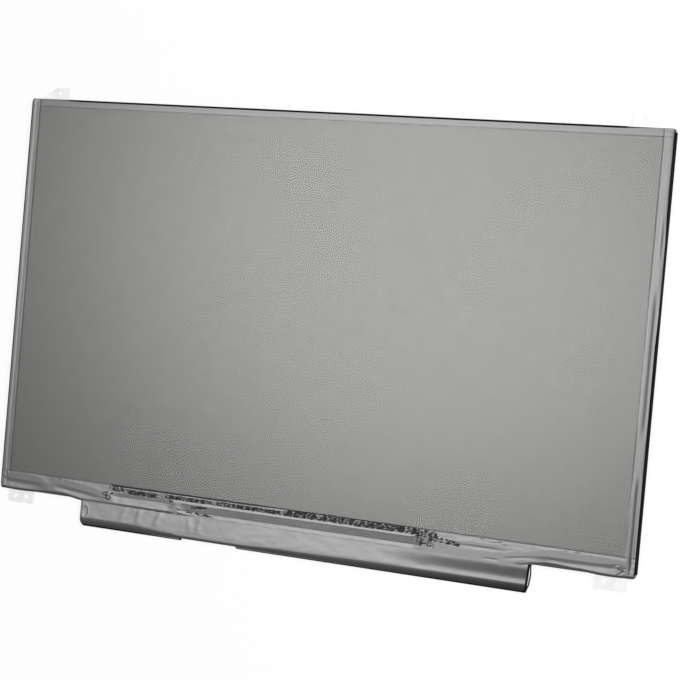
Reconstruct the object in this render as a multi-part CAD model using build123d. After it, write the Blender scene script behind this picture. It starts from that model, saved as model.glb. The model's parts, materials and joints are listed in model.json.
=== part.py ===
from build123d import *
import os

# A slim laptop screen panel with a 13.3-inch screen, lying on its back with the screen up.
# +X runs along the screen's width, +Y towards its top edge and +Z out of the screen.
# The origin is under the middle of the whole part, on the surface that it lies on.
# Lengths are in millimetres.

# Screen area, and the borders from it to the body's edges
ACTIVE_WIDTH = 293.4
ACTIVE_HEIGHT = 165.0
SIDE_BORDER = 6.3
TOP_BORDER = 5.1
BOTTOM_BORDER = 9.9
BODY_CORNER = 1.0

# Layer thicknesses, from the back to the front
REAR_EMBOSS = 0.15
COVER_SHEET = 0.3
REFLECTOR_SHEET = 0.15
LIGHT_GUIDE = 0.8
OPTICAL_SHEET = 0.15
SHEET_PLAY = 0.05
FRAME_LEDGE = 0.25
SHIELD_TAPE = 0.1
REAR_POLARIZER = 0.15
GLASS = 0.4
FRONT_POLARIZER = 0.2
FILM = 0.1
EDGE_TAPE = 0.1

# How far the layers reach past the active area, or stop short of the body's edges
WINDOW_GROWTH = 1.0
SHEET_LAP = 1.0
POLARIZER_LAP = 0.8
SHIELD_TAPE_BACK = 0.2
FRONT_POLARIZER_GROWTH = 1.5
GUIDE_PLAY = 0.1
GLASS_INSET = 1.0
GLASS_PLAY = 0.2
BOND_LEDGE = 3.4
BOND_INSET = 2.0
FRAME_FIT = 0.05
RIM_SEAT = 0.1
EMBOSS_INSET = 12.0
EMBOSS_CORNER = 8.0
GROOVE_LENGTH = 190.0
GROOVE_WIDTH = 7.0
GROOVE_SPREAD = 92.0
FILM_SIDE_INSET = 0.6
FILM_TOP_INSET = 1.2
FILM_BOTTOM_INSET = 0.4

# Edge tapes
TAPE_REAR_LAP = 3.0
TAPE_FRONT_CLEAR = 1.0
TAPE_END_INSET = 1.5
TAPE_TAB_GAP = 1.7

# Lamp strip along the lower edge
LED_WIDTH = 3.0
LED_DEPTH = 1.0
LED_COUNT = 36
LED_PITCH = 7.4
LED_WALL = 1.15
LED_FLEX_WIDTH = 3.8
LED_FLEX_SHEET = 0.1
LED_FLEX_END = 3.0
LED_PLAY = 0.1
TAIL_END_INSET = 45.5
TAIL_WIDTH = 7.0
TAIL_RISE = 0.3
TAIL_INSERTION = 2.0

# Fixing brackets
BRACKET_SHEET = 0.4
BRACKET_LIFT = 0.85
BRACKET_ROOT = 2.2
TAB_HOLE_RADIUS = 1.2
HOLE_INSET = 13.4
HOLE_PITCH = 5.8
HOLE_REACH = 3.0
UPPER_TAB_RIM = 2.2
UPPER_TAB_INNER_LAND = 4.9
UPPER_TAB_OUTER_LAND = 8.6
UPPER_TAB_SLANT = 6.8
UPPER_TAB_SHOULDER = 0.6
UPPER_TAB_CHAMFER = 1.2
LOWER_TAB_RIM = 3.0
LOWER_TAB_LAND = 3.8
LOWER_TAB_CORNER = 1.2

# Driver board and what it carries
BOARD_LENGTH = 211.0
BOARD_WIDTH = 10.0
BOARD_SHEET = 0.8
BOARD_GAP = 0.4
BOARD_DROP = 0.7
BOARD_CORNER = 0.8
LOCATING_SLOT_LENGTH = 4.5
LOCATING_SLOT_WIDTH = 2.4
LOCATING_SLOT_INSET = 2.2
SOURCE_FLEX_SHEET = 0.1
SOURCE_FLEX_WIDTH = 38.0
SOURCE_FLEX_COUNT = 4
SOURCE_FLEX_BOND = 2.6
SOURCE_FLEX_RUN = 0.6
SOURCE_FLEX_LANDING = 2.6
DRIVER_CHIP_SIZE = (18.0, 1.4, 0.45)
TIMING_CHIP_SIZE = (8.0, 8.0, 0.85)
TIMING_CHIP_X = 6.0
POWER_CHIP_SIZE = (5.0, 5.0, 0.8)
POWER_CHIP_X = -18.0
BACKLIGHT_CHIP_SIZE = (4.0, 4.0, 0.75)
BACKLIGHT_CHIP_FROM_TAIL = 14.0
INDUCTOR_SIZE = (4.0, 4.0, 1.0)
INDUCTOR_PITCH = 7.5
CAPACITOR_SIZE = (1.6, 0.8, 0.8)
CAPACITOR_END_INSETS = (9.5, 21.5, 33.5)
CAPACITOR_MIDDLE_XS = (-12.0, 15.0)
RESISTOR_SIZE = (1.0, 0.5, 0.35)
RESISTOR_END_INSETS = (5.5, 15.5, 25.5, 37.5)
RESISTOR_MIDDLE_XS = (-8.0, 12.5, 18.0)
SMALL_PART_ROWS = (-3.0, 0.0, 3.0)

# Display cable's socket, with its mouth towards -Y
SIGNAL_X = -42.5
SIGNAL_BODY_WIDTH = 18.0
SIGNAL_BODY_DEPTH = 4.2
SIGNAL_BODY_HEIGHT = 0.8
SIGNAL_SHELL = 0.15
SIGNAL_MOUTH_HEIGHT = 0.5
SIGNAL_MOUTH_DEPTH = 3.4
SIGNAL_BASE = 0.15
CONTACT_COUNT = 30
CONTACT_PITCH = 0.5
CONTACT_WIDTH = 0.22
CONTACT_SHEET = 0.12
CONTACT_FOOT = 0.8
CONTACT_INSET = 0.5
MOUTH_END_ROOM = 0.4

# Lamp tail's socket, with its mouth towards +Y
LAMP_SOCKET_DEPTH = 3.4
LAMP_SOCKET_HEIGHT = 0.9
LAMP_SOCKET_CHEEK = 0.8
LAMP_SOCKET_PLAY = 0.05
LAMP_SOCKET_GAP = 2.6

# Film wrapped round the driver board
SLEEVE = 0.15
SLEEVE_OVERHANG = 3.5
SLEEVE_SLACK = 1.85
SLEEVE_BACK_CORNER = 0.4
SLEEVE_FRONT_LAP = 1.2
SLEEVE_REAR_LAP = 3.0
SLEEVE_SIDE_ROOM = 1.0
SOCKET_NOTCH_WIDTH = 28.6
SOCKET_NOTCH_DEPTH = 1.3
SOCKET_NOTCH_ROOM = 0.8
SLEEVE_CHAMFER_X = 1.0
SLEEVE_CHAMFER_Y = 1.8
SLEEVE_END_SLANT = 2.2

# Heights of the stacked layers
RIM_BACK = REAR_EMBOSS
FLOOR = RIM_BACK + COVER_SHEET
GUIDE_BACK = FLOOR + REFLECTOR_SHEET
DIFFUSER_BACK = GUIDE_BACK + LIGHT_GUIDE
LOWER_PRISM_BACK = DIFFUSER_BACK + OPTICAL_SHEET
UPPER_PRISM_BACK = LOWER_PRISM_BACK + OPTICAL_SHEET
LEDGE_BACK = UPPER_PRISM_BACK + OPTICAL_SHEET + SHEET_PLAY
LEDGE_FRONT = LEDGE_BACK + FRAME_LEDGE
REAR_POLARIZER_BACK = LEDGE_FRONT + SHIELD_TAPE
TFT_BACK = REAR_POLARIZER_BACK + REAR_POLARIZER
FILTER_BACK = TFT_BACK + GLASS
GLASS_FRONT = FILTER_BACK + GLASS
FILM_BACK = GLASS_FRONT + FRONT_POLARIZER
WALL_FRONT = LEDGE_FRONT - RIM_SEAT
BRACKET_BACK = FLOOR + BRACKET_LIFT
BOARD_FRONT = FILTER_BACK - BOARD_DROP
BOARD_BACK = BOARD_FRONT - BOARD_SHEET
STRIP_FRONT = FILTER_BACK + SOURCE_FLEX_SHEET + SLEEVE

# Edges of the body and the strip below it
UPPER_REACH = HOLE_REACH + UPPER_TAB_RIM
STRIP_REACH = BOARD_GAP + BOARD_WIDTH + SLEEVE_SLACK + SLEEVE
BODY_WIDTH = ACTIVE_WIDTH + 2 * SIDE_BORDER
BODY_HEIGHT = TOP_BORDER + ACTIVE_HEIGHT + BOTTOM_BORDER
STRIP_BOTTOM = -(UPPER_REACH + BODY_HEIGHT + STRIP_REACH) / 2
BODY_BOTTOM = STRIP_BOTTOM + STRIP_REACH
BODY_TOP = BODY_BOTTOM + BODY_HEIGHT
BODY_SIDE = BODY_WIDTH / 2
ACTIVE_SIDE = ACTIVE_WIDTH / 2
ACTIVE_BOTTOM = BODY_BOTTOM + BOTTOM_BORDER
ACTIVE_TOP = BODY_TOP - TOP_BORDER

# Places that several pieces share
SHEET_GROWTH = WINDOW_GROWTH + SHEET_LAP
LED_CHANNEL_BOTTOM = BODY_BOTTOM + COVER_SHEET + FRAME_FIT + LED_WALL
LED_FLEX_BOTTOM = LED_CHANNEL_BOTTOM + LED_PLAY
LED_FACE = LED_FLEX_BOTTOM + LED_FLEX_WIDTH
GUIDE_BOTTOM = LED_FACE + LED_PLAY
LED_FLEX_SIDE = (LED_COUNT - 1) * LED_PITCH / 2 + LED_WIDTH / 2 + LED_FLEX_END
TFT_BOTTOM = BODY_BOTTOM + BOND_INSET
FILTER_BOTTOM = TFT_BOTTOM + BOND_LEDGE
BOARD_TOP = BODY_BOTTOM - BOARD_GAP
BOARD_BOTTOM = BOARD_TOP - BOARD_WIDTH
BOARD_MIDDLE = (BOARD_TOP + BOARD_BOTTOM) / 2
SLEEVE_SIDE = BOARD_LENGTH / 2 + SLEEVE_OVERHANG
INNER_HOLE_X = BODY_SIDE - HOLE_INSET
OUTER_HOLE_X = INNER_HOLE_X + HOLE_PITCH
UPPER_HOLE_Y = BODY_TOP + HOLE_REACH
LOWER_HOLE_Y = BODY_BOTTOM - HOLE_REACH
UPPER_TAB_INNER = INNER_HOLE_X - UPPER_TAB_INNER_LAND
UPPER_TAB_OUTER = INNER_HOLE_X + UPPER_TAB_OUTER_LAND
LOWER_TAB_INNER = INNER_HOLE_X - LOWER_TAB_LAND
LOWER_TAB_OUTER = OUTER_HOLE_X + LOWER_TAB_LAND
TAIL_X = BOARD_LENGTH / 2 - TAIL_END_INSET
TAIL_LOW_X = TAIL_X - TAIL_WIDTH / 2
TAIL_HIGH_X = TAIL_X + TAIL_WIDTH / 2
LAMP_SOCKET_TOP = BODY_BOTTOM - LAMP_SOCKET_GAP
TAIL_BACK = FLOOR + TAIL_RISE
BACKLIGHT_CHIP_X = TAIL_X - BACKLIGHT_CHIP_FROM_TAIL
CUT = 1.0  # spare length of a cut past the face that it leaves


def block(x_low, x_high, y_low, y_high, z_low, z_high):
    """A box between two corners."""
    size = Box(x_high - x_low, y_high - y_low, z_high - z_low, align=Align.MIN)
    return Pos(x_low, y_low, z_low) * size


def rounded_block(side, y_low, y_high, z_low, z_high, corner):
    """A box across the width, with its four upright edges rounded."""
    box = block(-side, side, y_low, y_high, z_low, z_high)
    return fillet(box.edges().filter_by(Axis.Z), corner)


def grown_sheet(growth, z_low, thickness):
    """A flat sheet that reaches past the active area by the same amount all round."""
    side = ACTIVE_SIDE + growth
    return block(-side, side, ACTIVE_BOTTOM - growth, ACTIVE_TOP + growth, z_low, z_low + thickness)


def backlight_sheet(z_low, thickness):
    """A sheet of the backlight, from the lamps to past the window's other three edges."""
    side = ACTIVE_SIDE + SHEET_GROWTH
    return block(-side, side, GUIDE_BOTTOM, ACTIVE_TOP + SHEET_GROWTH, z_low, z_low + thickness)


def bent_strip(x_low, x_high, back_line, thickness):
    """A strip along X of a flexible sheet, from the (y, z) line of its back face."""
    front_line = [(y, z + thickness) for y, z in reversed(back_line)]
    section = Plane.YZ * make_face(Polyline(*back_line, *front_line, close=True))
    return Pos(x_low, 0, 0) * extrude(section, x_high - x_low)


def on_board_back(size, x, y):
    """A boxy part soldered to the board's back."""
    width, depth, height = size
    return block(x - width / 2, x + width / 2, y - depth / 2, y + depth / 2, BOARD_BACK - height, BOARD_BACK)


def group(solids):
    """Separate solids of one kind, kept in one node."""
    return Compound(children=list(solids))


def bracket_slots():
    """The room that the brackets' roots take in the frame and in the cover's walls."""
    slots = []
    for inner, outer, low, high in (
        (UPPER_TAB_INNER, UPPER_TAB_OUTER, BODY_TOP - BRACKET_ROOT, BODY_TOP + CUT),
        (LOWER_TAB_INNER, LOWER_TAB_OUTER, BODY_BOTTOM - CUT, BODY_BOTTOM + BRACKET_ROOT),
    ):
        front = BRACKET_BACK + BRACKET_SHEET
        slots.append(block(inner, outer, low, high, BRACKET_BACK, front))
        slots.append(block(-outer, -inner, low, high, BRACKET_BACK, front))
    return slots


def tail_slot():
    """The way out for the lamp strip's tail, through the lower walls."""
    low = BODY_BOTTOM - CUT
    back = FLOOR - FRAME_FIT
    return block(TAIL_LOW_X - LED_PLAY, TAIL_HIGH_X + LED_PLAY, low, LED_CHANNEL_BOTTOM, back, TAIL_BACK)


def stiffening_grooves(width_change, z_low, z_high):
    """Two long grooves across the cover's raised middle, wider by a given amount."""
    groove = SlotOverall(GROOVE_LENGTH + width_change, GROOVE_WIDTH + width_change)
    middle = (BODY_BOTTOM + BODY_TOP) / 2
    places = [Pos(0, middle + hand * GROOVE_SPREAD / 2, z_low) for hand in (-1, 1)]
    return [place * extrude(groove, z_high - z_low) for place in places]


def rear_cover():
    """Pressed metal tray: a grooved floor with a raised middle, and low walls on all four sides."""
    side = BODY_SIDE - EDGE_TAPE
    top = BODY_TOP - EDGE_TAPE
    tray = rounded_block(side, BODY_BOTTOM, top, RIM_BACK, WALL_FRONT, BODY_CORNER)
    inner_side = side - COVER_SHEET
    inner_bottom = BODY_BOTTOM + COVER_SHEET
    inner_top = top - COVER_SHEET
    inner_corner = BODY_CORNER - COVER_SHEET
    tray -= rounded_block(inner_side, inner_bottom, inner_top, FLOOR, WALL_FRONT + CUT, inner_corner)
    raised_side = BODY_SIDE - EMBOSS_INSET
    raised_bottom = BODY_BOTTOM + EMBOSS_INSET
    raised_top = BODY_TOP - EMBOSS_INSET
    tray += rounded_block(raised_side, raised_bottom, raised_top, 0, FLOOR, EMBOSS_CORNER)
    hollow = rounded_block(
        raised_side - COVER_SHEET,
        raised_bottom + COVER_SHEET,
        raised_top - COVER_SHEET,
        COVER_SHEET,
        FLOOR + CUT,
        EMBOSS_CORNER - COVER_SHEET,
    )
    tray -= hollow - stiffening_grooves(2 * COVER_SHEET, 0, FLOOR)
    tray -= stiffening_grooves(0, -CUT, RIM_BACK)
    return tray - bracket_slots() - tail_slot()


def mold_frame():
    """Moulded frame: walls in the tray, a ledge under the glass and a rim round it."""
    side = BODY_SIDE - EDGE_TAPE
    top = BODY_TOP - EDGE_TAPE
    wall_gap = COVER_SHEET + FRAME_FIT
    walls = rounded_block(
        side - wall_gap, BODY_BOTTOM + wall_gap, top - wall_gap, FLOOR, LEDGE_FRONT, BODY_CORNER - wall_gap
    )
    frame = walls + rounded_block(side, BODY_BOTTOM, top, WALL_FRONT, GLASS_FRONT, BODY_CORNER)
    pocket_side = BODY_SIDE - GLASS_INSET + GLASS_PLAY
    pocket_top = BODY_TOP - GLASS_INSET + GLASS_PLAY
    frame -= block(
        -pocket_side, pocket_side, TFT_BOTTOM - GLASS_PLAY, pocket_top, LEDGE_FRONT, GLASS_FRONT + CUT
    )
    frame -= grown_sheet(WINDOW_GROWTH, FLOOR - CUT, GLASS_FRONT)
    sheet_side = ACTIVE_SIDE + SHEET_GROWTH + GUIDE_PLAY
    sheet_top = ACTIVE_TOP + SHEET_GROWTH + GUIDE_PLAY
    frame -= block(-sheet_side, sheet_side, GUIDE_BOTTOM - GUIDE_PLAY, sheet_top, FLOOR - CUT, LEDGE_BACK)
    lamp_side = LED_FLEX_SIDE + LED_PLAY
    frame -= block(-lamp_side, lamp_side, LED_CHANNEL_BOTTOM, GUIDE_BOTTOM, FLOOR - CUT, LEDGE_BACK)
    strip_side = SLEEVE_SIDE + SLEEVE_SIDE_ROOM
    frame -= block(-strip_side, strip_side, BODY_BOTTOM - CUT, TFT_BOTTOM, LEDGE_FRONT, GLASS_FRONT + CUT)
    return frame - bracket_slots() - tail_slot()


def shield_tape():
    """Frame-shaped tape on the ledge, under the edge of the glass."""
    side = BODY_SIDE - GLASS_INSET
    top = BODY_TOP - GLASS_INSET
    tape = block(-side, side, TFT_BOTTOM, top, LEDGE_FRONT, REAR_POLARIZER_BACK)
    return tape - grown_sheet(WINDOW_GROWTH + SHIELD_TAPE_BACK, LEDGE_FRONT - CUT, SHIELD_TAPE + 2 * CUT)


def glass_plate(bottom, z_low):
    """One of the cell's two glass plates, which share three edges."""
    side = BODY_SIDE - GLASS_INSET
    return block(-side, side, bottom, BODY_TOP - GLASS_INSET, z_low, z_low + GLASS)


def backlight_flex():
    """Flexible strip under the lamps, with a tail out to the board."""
    strip = block(-LED_FLEX_SIDE, LED_FLEX_SIDE, LED_FLEX_BOTTOM, LED_FACE, FLOOR, FLOOR + LED_FLEX_SHEET)
    tail_line = [
        (LED_FLEX_BOTTOM + LED_FLEX_WIDTH / 2, FLOOR),
        (BOARD_TOP, FLOOR),
        (LAMP_SOCKET_TOP + FRAME_FIT, TAIL_BACK),
        (LAMP_SOCKET_TOP - TAIL_INSERTION, TAIL_BACK),
    ]
    return strip + bent_strip(TAIL_LOW_X, TAIL_HIGH_X, tail_line, LED_FLEX_SHEET)


def backlight_leds():
    """Side-lit lamps in a row, facing the light guide's lower edge."""
    first = -(LED_COUNT - 1) * LED_PITCH / 2
    back = FLOOR + LED_FLEX_SHEET
    lamps = []
    for index in range(LED_COUNT):
        x = first + index * LED_PITCH
        half = LED_WIDTH / 2
        lamps.append(block(x - half, x + half, LED_FACE - LED_DEPTH, LED_FACE, back, back + LIGHT_GUIDE))
    return group(lamps)


def protective_film():
    """Clear film over the screen and its border."""
    side = BODY_SIDE - FILM_SIDE_INSET
    bottom = BODY_BOTTOM + FILM_BOTTOM_INSET
    top = BODY_TOP - FILM_TOP_INSET
    return block(-side, side, bottom, top, FILM_BACK, FILM_BACK + FILM)


def side_tape():
    """Tape down the body's right side, turned over onto the glass and under the cover."""
    low = BODY_BOTTOM + TAPE_END_INSET
    high = BODY_TOP - TAPE_END_INSET
    back = RIM_BACK - EDGE_TAPE
    front = GLASS_FRONT + EDGE_TAPE
    front_lap = SIDE_BORDER - FRONT_POLARIZER_GROWTH - TAPE_FRONT_CLEAR
    tape = block(BODY_SIDE - EDGE_TAPE, BODY_SIDE, low, high, back, front)
    tape += block(BODY_SIDE - front_lap, BODY_SIDE, low, high, GLASS_FRONT, front)
    return tape + block(BODY_SIDE - TAPE_REAR_LAP, BODY_SIDE, low, high, back, RIM_BACK)


def top_edge_tape():
    """Tape along the top edge between the two brackets, turned over like the side tapes."""
    side = UPPER_TAB_INNER - TAPE_TAB_GAP
    back = RIM_BACK - EDGE_TAPE
    front = GLASS_FRONT + EDGE_TAPE
    front_lap = TOP_BORDER - FRONT_POLARIZER_GROWTH - TAPE_FRONT_CLEAR
    tape = block(-side, side, BODY_TOP - EDGE_TAPE, BODY_TOP, back, front)
    tape += block(-side, side, BODY_TOP - front_lap, BODY_TOP, GLASS_FRONT, front)
    return tape + block(-side, side, BODY_TOP - TAPE_REAR_LAP, BODY_TOP, back, RIM_BACK)


def tab_hole(x, y):
    """A screw hole through a bracket."""
    hole = Cylinder(TAB_HOLE_RADIUS, BRACKET_SHEET + 2 * CUT)
    return Pos(x, y, BRACKET_BACK + BRACKET_SHEET / 2) * hole


def bracket_plate(outline):
    """A flat bracket cut from sheet steel, lying in its slot."""
    return Pos(0, 0, BRACKET_BACK) * extrude(outline, BRACKET_SHEET)


def upper_left_bracket():
    """Tab at the upper left, with its outer side cut away on a slant."""
    tip = BODY_TOP + UPPER_REACH
    root = BODY_TOP - BRACKET_ROOT
    outline = Polygon(
        (-UPPER_TAB_OUTER, root),
        (-UPPER_TAB_INNER, root),
        (-UPPER_TAB_INNER, tip),
        (-UPPER_TAB_OUTER + UPPER_TAB_SLANT, tip),
        (-UPPER_TAB_OUTER, BODY_TOP + UPPER_TAB_SHOULDER),
        align=None,
    )
    return bracket_plate(outline) - tab_hole(-INNER_HOLE_X, UPPER_HOLE_Y)


def upper_right_bracket():
    """Tab at the upper right, square but for its outer corner."""
    tip = BODY_TOP + UPPER_REACH
    root = BODY_TOP - BRACKET_ROOT
    outline = Polygon(
        (UPPER_TAB_INNER, root),
        (UPPER_TAB_OUTER, root),
        (UPPER_TAB_OUTER, tip - UPPER_TAB_CHAMFER),
        (UPPER_TAB_OUTER - UPPER_TAB_CHAMFER, tip),
        (UPPER_TAB_INNER, tip),
        align=None,
    )
    return bracket_plate(outline) - tab_hole(INNER_HOLE_X, UPPER_HOLE_Y)


def lower_bracket(hand):
    """Tab under the lower edge, with rounded free corners and two holes."""
    tip = LOWER_HOLE_Y - LOWER_TAB_RIM
    root = BODY_BOTTOM + BRACKET_ROOT
    middle = Pos(hand * (LOWER_TAB_INNER + LOWER_TAB_OUTER) / 2, (tip + root) / 2)
    outline = middle * Rectangle(LOWER_TAB_OUTER - LOWER_TAB_INNER, root - tip)
    outline = fillet(outline.vertices().sort_by(Axis.Y)[:2], LOWER_TAB_CORNER)
    holes = [tab_hole(hand * x, LOWER_HOLE_Y) for x in (INNER_HOLE_X, OUTER_HOLE_X)]
    return bracket_plate(outline) - holes


def source_flex_x(index):
    """The middle of one source flex, evenly spread along the board."""
    pitch = BOARD_LENGTH / SOURCE_FLEX_COUNT
    return (index - (SOURCE_FLEX_COUNT - 1) / 2) * pitch


def source_flexes():
    """Flexible strips from the glass's bonding ledge down to the board's front."""
    back_line = [
        (TFT_BOTTOM + SOURCE_FLEX_BOND, FILTER_BACK),
        (TFT_BOTTOM, FILTER_BACK),
        (BOARD_TOP - SOURCE_FLEX_RUN, BOARD_FRONT),
        (BOARD_TOP - SOURCE_FLEX_RUN - SOURCE_FLEX_LANDING, BOARD_FRONT),
    ]
    flexes = []
    for index in range(SOURCE_FLEX_COUNT):
        low = source_flex_x(index) - SOURCE_FLEX_WIDTH / 2
        flexes.append(bent_strip(low, low + SOURCE_FLEX_WIDTH, back_line, SOURCE_FLEX_SHEET))
    return group(flexes)


def driver_chips():
    """Long thin chips, one on each source flex where it lies on the board."""
    width, depth, height = DRIVER_CHIP_SIZE
    top = BOARD_TOP - SOURCE_FLEX_RUN - (SOURCE_FLEX_LANDING - depth) / 2
    back = BOARD_FRONT + SOURCE_FLEX_SHEET
    chips = []
    for index in range(SOURCE_FLEX_COUNT):
        low = source_flex_x(index) - width / 2
        chips.append(block(low, low + width, top - depth, top, back, back + height))
    return group(chips)


def driver_board():
    """Long narrow circuit board, with a locating slot at its left end."""
    side = BOARD_LENGTH / 2
    board = rounded_block(side, BOARD_BOTTOM, BOARD_TOP, BOARD_BACK, BOARD_FRONT, BOARD_CORNER)
    slot = SlotOverall(LOCATING_SLOT_LENGTH, LOCATING_SLOT_WIDTH, rotation=90)
    place = Pos(-side + LOCATING_SLOT_INSET, BOARD_MIDDLE, BOARD_BACK - CUT)
    return board - place * extrude(slot, BOARD_SHEET + 2 * CUT)


def power_inductors():
    """Coils beside the backlight driver, with one beside the power chip."""
    first = BACKLIGHT_CHIP_X - INDUCTOR_PITCH
    xs = (first, first - INDUCTOR_PITCH, POWER_CHIP_X - INDUCTOR_PITCH)
    return group(on_board_back(INDUCTOR_SIZE, x, BOARD_MIDDLE) for x in xs)


def small_parts(size, end_insets, middle_xs):
    """Rows of small parts on the board's back, near both its ends and in its middle."""
    side = BOARD_LENGTH / 2
    xs = [inset - side for inset in end_insets]
    xs += middle_xs
    xs += [side - inset for inset in end_insets]
    return group(on_board_back(size, x, BOARD_MIDDLE + row) for x in xs for row in SMALL_PART_ROWS)


def signal_connector():
    """The display cable's socket: its moulded body, metal shell and contacts."""
    side = SIGNAL_BODY_WIDTH / 2
    mouth = BOARD_BOTTOM
    rear = mouth + SIGNAL_BODY_DEPTH
    back = BOARD_BACK - SIGNAL_BODY_HEIGHT
    slot_front = BOARD_BACK - SIGNAL_BASE
    slot_side = CONTACT_COUNT * CONTACT_PITCH / 2 + MOUTH_END_ROOM
    slot_end = mouth + SIGNAL_MOUTH_DEPTH
    contact_back = slot_front - CONTACT_SHEET

    body = block(SIGNAL_X - side, SIGNAL_X + side, mouth, rear, back, BOARD_BACK)
    low = SIGNAL_X - slot_side
    high = SIGNAL_X + slot_side
    body -= block(low, high, mouth - CUT, slot_end, slot_front - SIGNAL_MOUTH_HEIGHT, slot_front)
    body -= block(low, high, slot_end, rear + CUT, contact_back, slot_front)

    shell_side = side + SIGNAL_SHELL
    shell_back = back - SIGNAL_SHELL
    shell = block(SIGNAL_X - shell_side, SIGNAL_X + shell_side, mouth, rear, shell_back, BOARD_BACK)
    shell -= block(SIGNAL_X - side, SIGNAL_X + side, mouth - CUT, rear + CUT, back, BOARD_BACK + CUT)

    contacts = []
    for index in range(CONTACT_COUNT):
        x = SIGNAL_X + (index - (CONTACT_COUNT - 1) / 2) * CONTACT_PITCH
        left = x - CONTACT_WIDTH / 2
        right = x + CONTACT_WIDTH / 2
        contact = block(left, right, mouth + CONTACT_INSET, rear + CONTACT_FOOT, contact_back, slot_front)
        contacts.append(contact + block(left, right, rear, rear + CONTACT_FOOT, slot_front, BOARD_BACK))
    return body, shell, group(contacts)


def backlight_connector():
    """The socket that the lamp strip's tail is pushed into."""
    side = TAIL_WIDTH / 2 + LAMP_SOCKET_CHEEK
    bottom = LAMP_SOCKET_TOP - LAMP_SOCKET_DEPTH
    back = BOARD_BACK - LAMP_SOCKET_HEIGHT
    socket = block(TAIL_X - side, TAIL_X + side, bottom, LAMP_SOCKET_TOP, back, BOARD_BACK)
    return socket - block(
        TAIL_LOW_X - LAMP_SOCKET_PLAY,
        TAIL_HIGH_X + LAMP_SOCKET_PLAY,
        LAMP_SOCKET_TOP - TAIL_INSERTION,
        LAMP_SOCKET_TOP + CUT,
        TAIL_BACK,
        TAIL_BACK + LED_FLEX_SHEET + LAMP_SOCKET_PLAY,
    )


def board_cover_film():
    """Film from the front glass down over the board and round its lower edge to the back."""
    bend = STRIP_FRONT - SLEEVE_BACK_CORNER
    bend_y = STRIP_BOTTOM + bend
    corner_y = STRIP_BOTTOM + SLEEVE_BACK_CORNER
    front_end = FILTER_BOTTOM + SLEEVE_FRONT_LAP
    rear_end = BODY_BOTTOM + SLEEVE_REAR_LAP
    edges = []
    for inset in (0, SLEEVE):
        glass = GLASS_FRONT + SLEEVE - inset
        front = STRIP_FRONT - inset
        front_line = [(front_end, glass), (FILTER_BOTTOM, glass), (TFT_BOTTOM, front), (bend_y, front)]
        edges += Polyline(*front_line).edges()
        edges.append(CenterArc((bend_y, SLEEVE_BACK_CORNER), bend - inset, 90, 90))
        edges.append(CenterArc((corner_y, SLEEVE_BACK_CORNER), SLEEVE_BACK_CORNER - inset, 180, 90))
        edges.append(Line((corner_y, inset), (rear_end, inset)))
    edges.append(Line((front_end, GLASS_FRONT), (front_end, GLASS_FRONT + SLEEVE)))
    edges.append(Line((rear_end, 0), (rear_end, SLEEVE)))
    film = Pos(-SLEEVE_SIDE, 0, 0) * extrude(Plane.YZ * make_face(edges), 2 * SLEEVE_SIDE)

    notch_low = SIGNAL_X - SOCKET_NOTCH_WIDTH / 2
    notch_high = SIGNAL_X + SOCKET_NOTCH_WIDTH / 2
    notch_front = STRIP_FRONT + CUT
    below = STRIP_BOTTOM - CUT
    film -= block(notch_low, notch_high, below, STRIP_BOTTOM + SOCKET_NOTCH_DEPTH, -CUT, notch_front)
    window_top = BOARD_BOTTOM + SIGNAL_BODY_DEPTH + CONTACT_FOOT + SOCKET_NOTCH_ROOM
    film -= block(notch_low, notch_high, below, window_top, -CUT, BOARD_BACK)
    left_chamfer = Polygon(
        (-SLEEVE_SIDE, STRIP_BOTTOM),
        (-SLEEVE_SIDE + SLEEVE_CHAMFER_X, STRIP_BOTTOM),
        (-SLEEVE_SIDE, STRIP_BOTTOM + SLEEVE_CHAMFER_Y),
        align=None,
    )
    right_slant = Polygon(
        (SLEEVE_SIDE, BODY_BOTTOM),
        (SLEEVE_SIDE - SLEEVE_END_SLANT, STRIP_BOTTOM),
        (SLEEVE_SIDE, STRIP_BOTTOM),
        align=None,
    )
    for end_cut in (left_chamfer, right_slant):
        film -= Pos(0, 0, -CUT) * extrude(end_cut, STRIP_FRONT + 2 * CUT)
    return film


signal_body, signal_shell, signal_contacts = signal_connector()
right_tape = side_tape()

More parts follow.
